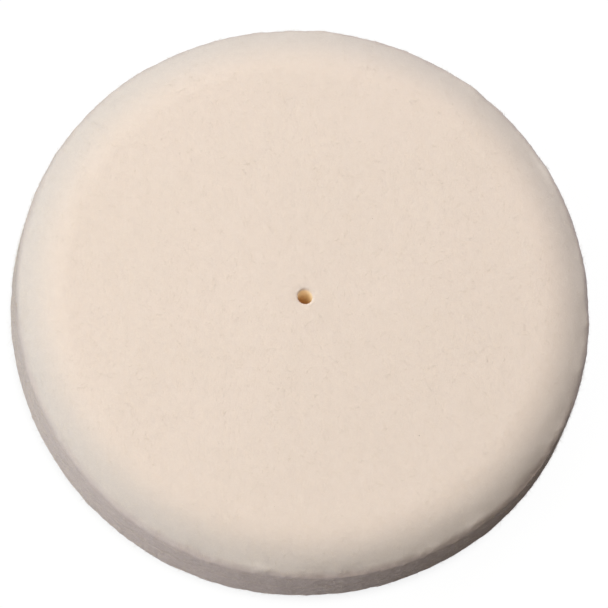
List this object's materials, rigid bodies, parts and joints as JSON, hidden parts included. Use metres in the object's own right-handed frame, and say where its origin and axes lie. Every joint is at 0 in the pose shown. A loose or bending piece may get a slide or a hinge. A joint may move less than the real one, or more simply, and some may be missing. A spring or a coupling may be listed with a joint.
{
  "type": "felt polishing wheel",
  "caption": "Round pressed-wool felt polishing wheel, laminated from flat plies, with rolled shoulders and a small pin hole for a tapered spindle.",
  "frame": {"origin": "centre of the back face, where the spin axis leaves it", "axes": "+Z is the spin axis and points out of the front face, +X and +Y are any two directions square to it"},
  "size_m": [0.1524, 0.1524, 0.0254],
  "materials": {
    "face_felt": "pressed undyed wool felt, buffed flat",
    "core_felt": "pressed undyed wool felt, cut edge",
    "glue": "dried amber glue film"
  },
  "bodies": {
    "root": {"front_ply": "face_felt", "front_glue_line": "glue", "front_core_ply": "core_felt", "middle_glue_line": "glue", "back_core_ply": "core_felt", "back_glue_line": "glue", "back_ply": "face_felt"}
  },
  "joints": []
}
